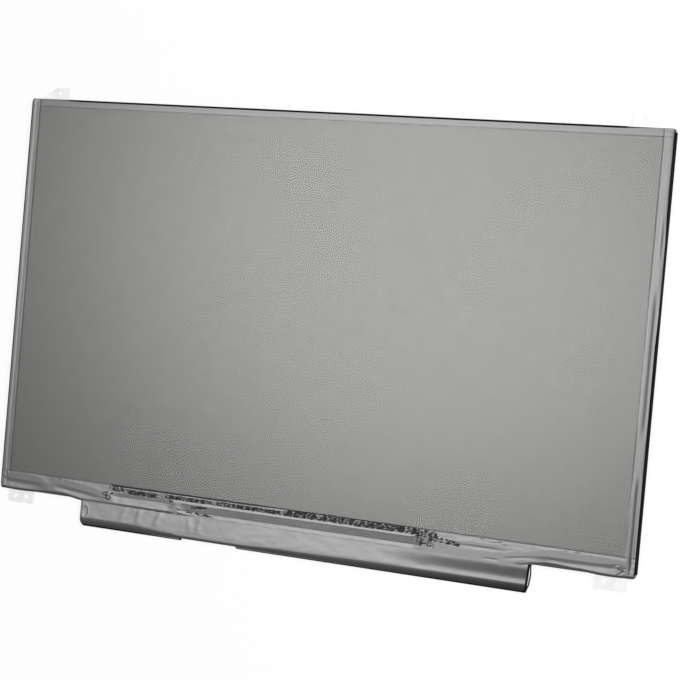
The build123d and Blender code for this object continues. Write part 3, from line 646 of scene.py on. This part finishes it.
# The film's lower edge: x and how far it lies below the screen's edge
FILM_LOWER_EDGE = (
    (-153.0, 8.5),
    (-142.0, 8.7),
    (-120.0, 7.9),
    (-106.0, 9.4),
    (104.0, 9.3),
    (109.0, 8.5),
    (117.0, 7.7),
    (128.0, 8.2),
    (141.0, 8.8),
    (153.0, 8.5),
)

# The lower edge is turned down by a little on the strip and more off it, and lies flat between two places; near
# the edge the film's colour is also darkened by a share, a painted shadow
RIM_DROP = (0.05, 0.25)
RIM_WIDTH = 1.2
RIM_PAINTED_SHADE = 0.8
FLAT_RIM = (-52.0, 102.0)

# The film stops short of the body's sides, save between two heights on the right
LEFT_INSET = 0.45
RIGHT_INSET = 0.35
INSET_START = 149.0
FULL_SIDE = (90.0, 132.0)

# How hazy the loose film is: x and share
FILM_HAZE = ((-150.0, 0.40), (-90.0, 0.75), (0.0, 0.8), (110.0, 0.55))

# The black line along the top shows between these ends
TOP_LINE_ENDS = (-129.5, 131.7)


# Sizes of the film's cells: beside the screen, in the crinkled part and in the rest of the lower border;
# over the screen only every so many columns are kept
BORDER_START = 145.0
CRINKLED_ENDS = (-99.0, 77.0)
SIDE_CELL = 0.33
CRINKLE_CELL = 0.34
BROAD_CELL = 1.1
SCREEN_STEP = 16


def soft_line(points, x):
    """A line through given points, level at each of them."""
    line = np.full_like(x, points[0][1])
    for (x_from, from_value), (x_to, to_value) in zip(points, points[1:]):
        line = line + (to_value - from_value) * smooth_step(x_from, x_to, x)
    return line


def rolling_wave(along, across, start, end, line_from, line_to, half_width, height):
    """A wave along a line, higher before the line and lower past it."""
    line = line_from + (line_to - line_from) * np.clip((along - start) / (end - start), 0.0, 1.0)
    offset = (across - line) / half_width
    return height * between(start, end, min(6.0, (end - start) / 3), along) * offset * np.exp(-0.5 * offset**2)


def buckles(x, below):
    """1 inside the film's small buckled spots, and 0 outside them."""
    chance = np.random.default_rng(BUCKLE_SEED)
    inside = np.clip(4.0 * np.minimum(below, soft_line(EDGE_LINE, x) - below) + 0.4, 0.0, 1.0)
    for x_from, x_to, line_from, line_to, spread, longest, widest, number in FILM_BUCKLES:
        for place in chance.uniform(0.0, 1.0, number):
            line = line_from + (line_to - line_from) * place + spread * chance.uniform(-1.0, 1.0)
            along = x - x_from - (x_to - x_from) * place
            across = below - line - BUCKLE_LEAN * chance.uniform(-1.0, 1.0) * along
            half_length = longest * chance.uniform(0.5, 1.0)
            half_width = widest * chance.uniform(0.6, 1.0)
            reach = np.hypot(along / half_length, across / half_width)
            inside = np.maximum(inside, np.clip(4.0 * (1.1 - reach), 0.0, 1.0))
    return inside


def squiggles(x, below):
    """1 on the film's squiggled creases, along the level lines of a sum of waves, and 0 off them."""
    chance = np.random.default_rng(SQUIGGLE_SEED)
    level = np.zeros_like(x)
    for _ in range(SQUIGGLE_WAVES):
        turn, start = chance.uniform(0.0, math.tau, 2)
        number = math.tau / chance.uniform(SHORTEST_SQUIGGLE, LONGEST_SQUIGGLE)
        level = level + np.sin(number * (x * math.cos(turn) + below * math.sin(turn)) + start)
    off_line = np.abs(level) * math.sqrt(2.0 / SQUIGGLE_WAVES)
    inside = np.zeros_like(x)
    for x_from, x_to, line_from, line_to, half_height, heaviness in FILM_SQUIGGLES:
        line = line_from + (line_to - line_from) * np.clip((x - x_from) / (x_to - x_from), 0.0, 1.0)
        share = 1.0 - smooth_step(0.7, 1.1, np.abs(below - line) / half_height)
        width = heaviness * share * between(x_from, x_to, 1.0, x)
        inside = np.maximum(inside, np.clip((width - off_line) / SQUIGGLE_SOFTNESS, 0.0, 1.0))
    return inside


def film_rim(x, on_strip, off_strip):
    """How much the film's lower edge is turned down, or darkened as a painted shadow: one amount on the strip
    and another off it, and none along most of it.
    """
    turned = np.where(np.abs(x) > STRIP_SIDE, off_strip, on_strip)
    return turned * (1.0 - between(*FLAT_RIM, 4.0, x))


def film_front(x, y):
    """The front of the film, which comes down past the screen's edges."""
    beside = np.abs(x) - SCREEN_SIDE
    below = SCREEN_BOTTOM - y
    drop = np.where(x < 0.0, steps(LEFT_STEPS, beside), steps(RIGHT_STEPS, beside))
    drop = drop + steps(TOP_STEPS, y - SCREEN_TOP) + steps(LOWER_STEPS, below)
    drop = drop - FILM_RISE * np.clip(below - RISE_START, 0.0, RISE_LENGTH)
    for x_from, x_to, start_from, start_to, width, fall in FILM_SLOPES:
        line = start_from + (start_to - start_from) * np.clip((x - x_from) / (x_to - x_from), 0.0, 1.0)
        drop = drop + fall * between(x_from, x_to, 3.0, x) * np.clip((below - line) / width, 0.0, 1.0)
    for wave in FILM_WAVES:
        drop = drop + rolling_wave(x, below, *wave)
    for side, *wave in FILM_SIDE_WAVES:
        drop = drop + np.where(side * x > 0.0, rolling_wave(y - SCREEN_BOTTOM, beside, *wave), 0.0)
    for middle_x, middle, half_x, half_y, depth in FILM_RINGS:
        ring = np.hypot((x - middle_x) / half_x, (below - middle) / half_y)
        drop = drop + depth * np.exp(-(((ring - 1.0) / RING_WIDTH) ** 2))
    edge = soft_line(FILM_LOWER_EDGE, x)
    drop = drop + film_rim(x, *RIM_DROP) * smooth_step(edge - RIM_WIDTH, edge, below)
    return FILM_FRONT - drop


def film_layer(columns, rows):
    """A block of the film's points, with the values that its crinkles, its haze and its painted shade follow.
    """
    covered = between(*FULL_SIDE, 8.0, rows - SCREEN_BOTTOM)
    side_inset = np.where(columns > 0.0, RIGHT_INSET * (1.0 - covered), LEFT_INSET)
    x = columns - np.sign(columns) * side_inset * smooth_step(INSET_START, FILM_SIDE, np.abs(columns))
    y = np.broadcast_to(rows, x.shape)
    below = SCREEN_BOTTOM - y
    off_screen = np.maximum(np.abs(x) - SCREEN_SIDE, np.maximum(y - SCREEN_TOP, below))
    crinkle = patches(x, below, FILM_CRINKLES)
    buckled = np.maximum(buckles(x, below), squiggles(x, below))
    pleat = PLEAT_STEEPNESS * np.abs(np.gradient(y, axis=0)) * buckled
    front = film_front(x, y) - pleat * (np.arange(len(y)) % 2)[:, None]
    # This share darkens the film's colour in its crinkles and buckles, a painted shade
    clear = np.clip(1.0 - 0.8 * crinkle, 0.0, 1.0) * (1.0 - buckled)
    # A painted shadow: the film's colour is darkened near its lower edge
    rim = film_rim(x, RIM_PAINTED_SHADE, RIM_PAINTED_SHADE) * smooth_step(-1.1, -0.4, below - soft_line(FILM_LOWER_EDGE, x))
    values = {
        "lifted": smooth_step(-0.2, 0.3, off_screen),
        "haze_and_shade": clear * np.interp(x, *zip(*FILM_HAZE)) * np.where(below > 0.0, 1.0, 0.7) * (1.0 - rim),
        "crinkle": crinkle,
        "slack": smooth_step(0.3, 1.5, off_screen) * 0.6,
    }
    return np.stack([x, y, front], -1), values


def protective_film():
    """The clear film over the screen and its border, with finer cells where it is crinkled."""
    crinkled_from, crinkled_to = CRINKLED_ENDS
    fine_xs = spaced(
        (-FILM_SIDE, -BORDER_START, SIDE_CELL),
        (-BORDER_START, crinkled_from, BROAD_CELL),
        (crinkled_from, crinkled_to, CRINKLE_CELL),
        (crinkled_to, BORDER_START, BROAD_CELL),
        (BORDER_START, FILM_SIDE, SIDE_CELL),
    )
    inner = np.flatnonzero(np.abs(fine_xs) < BORDER_START)
    broad = np.union1d(np.flatnonzero(np.abs(fine_xs) >= BORDER_START), inner[::SCREEN_STEP])
    broad_xs = fine_xs[broad]

    fixed = SCREEN_BOTTOM - spaced((-0.8, -0.1, 0.35), (-0.1, 3.6, 0.125), (3.6, 7.2, 0.18))[::-1]
    to_edge = np.linspace(1.0, 0.0, 10)[:-1, None]
    lower_end = fixed[0] + (SCREEN_BOTTOM - soft_line(FILM_LOWER_EDGE, fine_xs) - fixed[0]) * to_edge
    fine_rows = np.concatenate([lower_end, np.broadcast_to(fixed[:, None], (len(fixed), len(fine_xs)))])
    level = spaced((SCREEN_BOTTOM + 2.4, SCREEN_TOP - 1.0, 3.0))
    in_line = between(*TOP_LINE_ENDS, 0.6, broad_xs)
    top_edge = BODY_TOP - 0.1 - 0.65 * in_line
    upper_end = level[-1] + (top_edge - level[-1]) * np.linspace(0.0, 1.0, 14)[1:, None]
    broad_rows = np.concatenate([np.broadcast_to(level[:, None], (len(level), len(broad_xs))), upper_end])

    points, faces, layers, count = [], [], [], 0
    join_row = None
    for columns, rows in ((fine_xs, fine_rows), (broad_xs, broad_rows)):
        block, values = film_layer(np.broadcast_to(columns, rows.shape), rows)
        numbers = count + np.arange(rows.size).reshape(rows.shape)
        if join_row is not None:
            for place, (low, high) in enumerate(zip(broad, broad[1:])):
                faces.append(np.r_[join_row[low : high + 1], numbers[0, place + 1], numbers[0, place]])
        faces.extend(grid_cells(numbers).reshape(-1, 4))
        points.append(block.reshape(-1, 3))
        layers.append(values)
        join_row = numbers[-1]
        count += rows.size
    attributes = {label: np.concatenate([values[label].ravel() for values in layers]) for label in layers[0]}
    piece = sheet_object("screen_film", np.concatenate(points), faces, attributes)
    return finished_sheet(
        piece,
        FILM_SHEET,
        Crinkle_Height=0.16 * MM,
        Crinkle_Size=0.8 * MM,
        Crinkle_Stretch=2.0,
        Wave_Height=0.035 * MM,
        Wave_Size=2.6 * MM,
        Lowest=3.05 * MM,
        Highest=3.495 * MM,
        Seed=3.0,
        Material=FINISHES["clear_film"],
    )


# Film round the driver board

SLEEVE_SHEET = 0.08
FLANGE_FRONT = 3.27
STRIP_FRONT = 3.03
FLANGE_TOP = SLEEVE_HIGH[1]
GLASS_END = node_box("color_filter_glass")[0][1]
STRIP_TOP = node_box("tft_glass")[0][1]
BACK_CORNER = 0.4
REAR_END = BODY_BOTTOM + 3.0
NOTCH_MIDDLE = (SOCKET_LOW[0] + SOCKET_HIGH[0]) / 2
NOTCH_LOW = NOTCH_MIDDLE - 14.3
NOTCH_HIGH = NOTCH_MIDDLE + 14.3
WINDOW_TOP = BOARD_BOTTOM + 5.8
BEND_START = 11.0

# The strip's lower bend: x and how far it reaches up the strip's face
STRIP_BENDS = (
    (-109.0, 4.3),
    (-84.0, 4.2),
    (-62.0, 2.9),
    (-57.0, 2.4),
    (-28.0, 2.4),
    (-4.0, 3.1),
    (40.0, 3.6),
    (109.0, 3.7),
)

# The strip's open right end, from its top to its lower edge: share of the way and x, in front and behind
FRONT_END = ((0.0, 108.1), (1.0, 107.1))
BACK_END = ((0.0, 107.95), (0.4, 108.3), (0.73, 107.75), (1.0, 106.5))

# The front's end turns in: distance from the end and depth
STRIP_LIP = ((0.0, 1.4), (0.17, 0.7), (0.34, 0.2), (0.5, 0.0))
# The front's end over this width, and the back's end over this rim, are painted black, a painted shade
LIP_WIDTH = 0.5
BACK_RIM = 0.55
# Past that rim, over this width from the end, the back's inner face is painted white, a painted highlight
PAINTED_LIGHT_WIDTH = 4.0

# The columns are drawn in towards the open end from this place, over this length
DRAWN_FROM = 88.0
DRAWN_LENGTH = 20.0

# The strip's cut lower left corner and its curled left end
CORNER_HEIGHT = 2.0
CORNER_START = -106.0
CORNER_LENGTH = 3.0
CURL_START = -107.9
CURL_LENGTH = 1.1
CURL_DEPTH = 0.45

# The face sags from one x to another, by steps below the body's edge: start, end and depth
SAG_ENDS = (38.0, 80.0)
SAG_STEPS = ((1.8, 6.8, 0.40), (-0.3, 1.2, -0.05), (7.0, 8.8, -0.09))

# An oval dent near the left end, with a raised rim: x, middle below the body's edge and half sizes
DENT = (-106.2, 5.4, 1.35, 2.4)
DENT_DEPTH = 0.10
DENT_RIM = 0.04

# The film's back lies this far over the floor, and the notch takes up this many lines of the lower bend
BACK_LEVEL = 0.005
NOTCH_LINES = 13

# Upright folds in the strip's face: x, lean and height
STRIP_FOLDS = (
    (-86.0, 0.5, 0.06),
    (-78.0, 0.25, 0.09),
    (-68.0, 0.45, 0.09),
    (-47.0, 0.2, 0.08),
    (-52.0, -0.2, 0.04),
)

# Patches of fine crinkles in the strip: x, middle below the body's edge, half length, half height and strength
STRIP_CRINKLES = ((-106.0, 1.7, 3.0, 2.0, 0.3), (95.0, 6.9, 2.0, 0.6, 0.4))

# How light the strip's face is along it, with painted shade that darkens it towards its right end: x and share
STRIP_HAZE_AND_SHADE = ((20.0, 1.0), (70.0, 0.5), (100.0, 0.12))


def sleeve_bend(x):
    """How far the strip's lower bend reaches up its face, which changes along the strip."""
    return soft_line(STRIP_BENDS, x)


def strip_end(ends, y):
    """Where the strip's open end lies at a height, in front or behind."""
    return np.interp((BODY_BOTTOM - y) / (BODY_BOTTOM - STRIP_BOTTOM), *zip(*ends))


def sleeve_front(x, y):
    """The strip's front: a slope off the glass, then a face that sags towards its right end."""
    under = BODY_BOTTOM - y
    slope = smooth_step(GLASS_END, STRIP_TOP, y)
    z = FLANGE_FRONT + (STRIP_FRONT - FLANGE_FRONT) * slope + 0.02 * np.clip(STRIP_TOP - y, 0.0, 10.0)
    z = z - smooth_step(*SAG_ENDS, x) * steps(SAG_STEPS, under)
    for fold_x, lean, height in STRIP_FOLDS:
        offset = x - fold_x + lean * (under - 4.2)
        z = z + height * np.exp(-((offset / 1.1) ** 2)) * between(1.2, 7.2, 1.5, under)
    dent_x, dent_under, half_x, half_y = DENT
    ring = np.hypot((x - dent_x) / half_x, (under - dent_under) / half_y)
    z = z - DENT_DEPTH * (1.0 - smooth_step(0.75, 1.1, ring))
    z = z + DENT_RIM * np.exp(-(((ring - 1.25) / RING_WIDTH) ** 2))
    left_curl = np.clip((CURL_START - x) / CURL_LENGTH, 0.0, 1.0)
    fallen = np.interp(strip_end(FRONT_END, y) - x, *zip(*STRIP_LIP))
    return z - CURL_DEPTH * left_curl**2 - fallen * smooth_step(-0.3, 0.3, under)


def board_cover_film():
    """The shiny film from the glass over the driver board and round to its back."""
    runs = ((-STRIP_SIDE, -102.0, 0.3), (-102.0, NOTCH_LOW, 0.7), (NOTCH_LOW, NOTCH_HIGH, 0.7))
    columns = spaced(*runs, (NOTCH_HIGH, 108.0, 0.7), (108.0, STRIP_SIDE, 0.06))

    def slanted(y, behind=0.0):
        """The columns at a height, drawn in at the strip's right end and cut left corner."""
        end = strip_end(FRONT_END, y) * (1.0 - behind) + strip_end(BACK_END, y) * behind
        x = columns - (STRIP_SIDE - end) * np.clip((columns - DRAWN_FROM) / DRAWN_LENGTH, 0.0, 1.0)
        corner = np.clip((STRIP_BOTTOM + CORNER_HEIGHT - y) / CORNER_HEIGHT, 0.0, 1.0)
        return x + corner * np.clip((CORNER_START - columns) / CORNER_LENGTH, 0.0, 1.0)

    bend = sleeve_bend(columns)
    bend_y = STRIP_BOTTOM + bend
    lines = []
    for y in np.concatenate([np.linspace(FLANGE_TOP, GLASS_END, 5), np.linspace(GLASS_END, STRIP_TOP, 13)[1:]]):
        y = np.full_like(columns, y)
        lines.append((y, sleeve_front(slanted(y), y), 0.0))
    for share in np.linspace(0.0, 1.0, 37)[1:]:
        y = STRIP_TOP + (bend_y - STRIP_TOP) * share
        lines.append((y, sleeve_front(slanted(y), y), 0.0))
    bend_drop = sleeve_front(slanted(bend_y), bend_y) - BACK_CORNER
    start = math.radians(BEND_START)
    for turn in np.radians(np.linspace(BEND_START, 90.0, 19)[1:]):
        y = bend_y - bend * (np.sin(turn) - math.sin(start)) / (1.0 - math.sin(start))
        lines.append((y, BACK_CORNER + bend_drop * np.cos(turn) / math.cos(start), math.sin(turn) ** 2))
    bend_end = len(lines)
    notch_start = bend_end - NOTCH_LINES
    for turn in np.radians(np.linspace(0.0, 90.0, 5)[1:]):
        y = STRIP_BOTTOM + BACK_CORNER * (1.0 - np.cos(turn))
        corner_z = BACK_CORNER * (1.0 - np.sin(turn)) + BACK_LEVEL
        lines.append((np.full_like(columns, y), np.full_like(columns, corner_z), 1.0))
    for y in np.linspace(STRIP_BOTTOM + BACK_CORNER, WINDOW_TOP, 6)[1:]:
        lines.append((np.full_like(columns, y), np.full_like(columns, BACK_LEVEL), 1.0))
    notch_end = len(lines) - 1
    for y in np.linspace(WINDOW_TOP, REAR_END, 6)[1:]:
        lines.append((np.full_like(columns, y), np.full_like(columns, BACK_LEVEL), 1.0))

    y = np.array([line[0] for line in lines])
    z = np.array([line[1] for line in lines])
    x = np.array([slanted(line[0], line[2]) for line in lines])
    from_end = x[:, -1:] - x
    behind = np.broadcast_to(np.array([line[2] for line in lines])[:, None], x.shape)
    kept = np.ones((len(lines) - 1, len(columns) - 1), bool)
    middles = (columns[1:] + columns[:-1]) / 2
    in_notch = (middles > NOTCH_LOW) & (middles < NOTCH_HIGH)
    kept[notch_start:notch_end, in_notch] = False
    on_front = (np.arange(len(lines)) < bend_end)[:, None]
    under = BODY_BOTTOM - y
    turned_under = (bend_y - y) / bend
    # Painted shade: the face's colour darkens where it turns under at the lower bend and towards the strip's
    # right end, and the back gets the darkest colour
    face = np.interp(turned_under, (0.0, 0.1, 0.7), (1.0, 0.42, 0.2)) * np.interp(x, *zip(*STRIP_HAZE_AND_SHADE))
    lip = (behind == 0.0) & (under > -0.2) & (from_end < LIP_WIDTH)
    painted_dark_rim = (behind > 0.0) & (from_end < BACK_RIM)
    values = {
        "haze_and_shade": np.where(on_front, face, 0.0),
        "crinkle": np.where(on_front, patches(x, under, STRIP_CRINKLES), 0.0),
        "slack": np.where(on_front, between(-0.8, 8.2, 1.0, under), 0.0),
        # Painted shade: the front's turned-in lip, a rim at the back's open end, the lower bend past about
        # fifty degrees and the back are given the black finish
        "painted_dark_edge": np.where(lip | painted_dark_rim | (behind > 0.6), 1.0, 0.0),
        # Painted highlight: a band of the back's inner face near the open end gets the white finish
        "painted_light_band": np.where((behind == 1.0) & (from_end >= BACK_RIM) & (from_end < PAINTED_LIGHT_WIDTH), 1.0, 0.0),
    }
    points = np.stack([x, y, z], -1)[::-1].reshape(-1, 3)
    faces = grid_cells(np.arange(x.size).reshape(x.shape))[kept[::-1]]
    attributes = {label: layer[::-1].ravel() for label, layer in values.items()}
    piece = sheet_object("strip_film", points, faces, attributes)
    finished_sheet(
        piece,
        SLEEVE_SHEET,
        Crinkle_Height=0.04 * MM,
        Crinkle_Size=1.0 * MM,
        Crinkle_Stretch=1.5,
        Wave_Height=0.02 * MM,
        Wave_Size=4.0 * MM,
        Lowest=BACK_LEVEL * MM,
        Highest=3.495 * MM,
        Seed=11.0,
        Material=FINISHES["cover_film"],
    )
    # Painted shade: the black finish on the marked lip, rim, bend and back
    dress_faces(piece, "painted_dark_edge", FINISHES["black_tape"], -1.0)
    # Painted highlight: the white finish on that band of the back's inner face
    dress_faces(piece, "painted_light_band", FINISHES["white_sheet"], 0.5)
    return piece


for piece, node, finish_slot in (
    (protective_film(), "protective_film", "clear_film"),
    (board_cover_film(), "board_cover_film", "cover_film"),
):
    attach(piece, "root")
    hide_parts(node)


# Stage

GLOW_TILT = 23.3
GLOW_SHIFT = 0.025
GLOW_WIDTH = 0.141
GLOW_HEIGHT = 0.131
GLOW_SLANT = 0.13
GLOW_EVENNESS = 1.45
GLOW_CORE = 2.92
GLOW_RIM = 0.88
GLOW_RIM_WIDTH = 2.5
ROOM_LIGHT = 0.16


def studio_world():
    """A dim room with one broad soft light above, on the screen's left."""
    world = bpy.data.worlds.new("studio")
    world.use_nodes = True
    bpy.context.scene.world = world
    tree = world.node_tree
    tree.nodes.clear()
    add = node_adder(tree)
    direction = add("TexCoord").outputs["Generated"]
    tilt = math.radians(GLOW_TILT)

    def along(axis):
        return add("VectorMath", {0: direction, 1: axis}, operation="DOT_PRODUCT").outputs["Value"]

    wide = math_node(add, "DIVIDE", along((math.cos(tilt), 0.0, math.sin(tilt))), GLOW_WIDTH)
    high = math_node(add, "DIVIDE", math_node(add, "SUBTRACT", along((0.0, 1.0, 0.0)), GLOW_SHIFT), GLOW_HEIGHT)
    spread = math_node(add, "ADD", math_node(add, "POWER", wide, 2.0), math_node(add, "POWER", high, 2.0))
    slant = math_node(add, "MULTIPLY", math_node(add, "MULTIPLY", wide, high), GLOW_SLANT)
    spread = math_node(add, "MAXIMUM", math_node(add, "ADD", spread, slant), 0.0)
    even = math_node(add, "POWER", spread, GLOW_EVENNESS)
    core = math_node(add, "EXPONENT", math_node(add, "MULTIPLY", even, -0.5))
    rim = math_node(add, "EXPONENT", math_node(add, "MULTIPLY", spread, -0.5 / GLOW_RIM_WIDTH**2))
    core = math_node(add, "MULTIPLY", core, GLOW_CORE)
    glow = math_node(add, "ADD", core, math_node(add, "MULTIPLY", rim, GLOW_RIM))
    above = math_node(add, "GREATER_THAN", along((-math.sin(tilt), 0.0, math.cos(tilt))), 0.0)
    strength = math_node(add, "ADD", math_node(add, "MULTIPLY", glow, above), ROOM_LIGHT)
    light = add("Background", {"Color": (1.0, 0.998, 0.975, 1.0), "Strength": strength})
    add("OutputWorld", {"Surface": light.outputs[0]})


def studio_floor():
    """A plain pale floor that keeps the part's shadow."""
    mesh = bpy.data.meshes.new("floor")
    half = 12.0
    level = -0.0002
    corners = [(-half, -half, level), (half, -half, level), (half, half, level), (-half, half, level)]
    mesh.from_pydata(corners, [], [(0, 1, 2, 3)])
    floor = bpy.data.objects.new("floor", mesh)
    bpy.context.scene.collection.objects.link(floor)
    material = bpy.data.materials.new("floor")
    material.use_nodes = True
    tree = material.node_tree
    tree.nodes.clear()
    add = node_adder(tree)
    path = add("LightPath").outputs
    seen = math_node(add, "ADD", path["Is Camera Ray"], path["Is Glossy Ray"])
    seen = math_node(add, "ADD", seen, path["Is Transmission Ray"], clamp=True)
    share = math_node(add, "MULTIPLY", seen, 0.85)
    matt = add("BsdfDiffuse", {"Color": grey(0.92)})
    white = add("Emission", {"Color": grey(1.0), "Strength": 1.0})
    surface = add("MixShader", {0: share, 1: matt.outputs[0], 2: white.outputs[0]})
    add("OutputMaterial", {"Surface": surface.outputs[0]})
    mesh.materials.append(material)


def soft_lamp(name, place, size, power):
    """A square soft light that faces the part."""
    data = bpy.data.lights.new(name, "AREA")
    data.shape = "SQUARE"
    data.size = size
    data.energy = power
    lamp = bpy.data.objects.new(name, data)
    lamp.location = place
    lamp.rotation_euler = (-Vector(place)).to_track_quat("-Z", "Y").to_euler()
    bpy.context.scene.collection.objects.link(lamp)


def photo_camera():
    """The camera where the photograph was taken from."""
    data = bpy.data.cameras.new("camera")
    data.sensor_width = 36.0
    data.lens = 109.26
    camera = bpy.data.objects.new("camera", data)
    right = Vector((0.89688, 0.08712, -0.43361)).normalized()
    back = Vector((0.43300, 0.02675, 0.90100)).normalized()
    up = back.cross(right).normalized()
    right = up.cross(back)
    turn = Matrix((right, up, back)).transposed().to_4x4()
    camera.matrix_world = Matrix.Translation((0.39516, 0.0204, 0.79639)) @ turn
    bpy.context.scene.collection.objects.link(camera)
    bpy.context.scene.camera = camera


studio_world()
studio_floor()
soft_lamp("fill_lamp", (1.15, 0.35, 1.3), 1.0, 30.0)
photo_camera()
bpy.context.scene.view_settings.view_transform = "Standard"
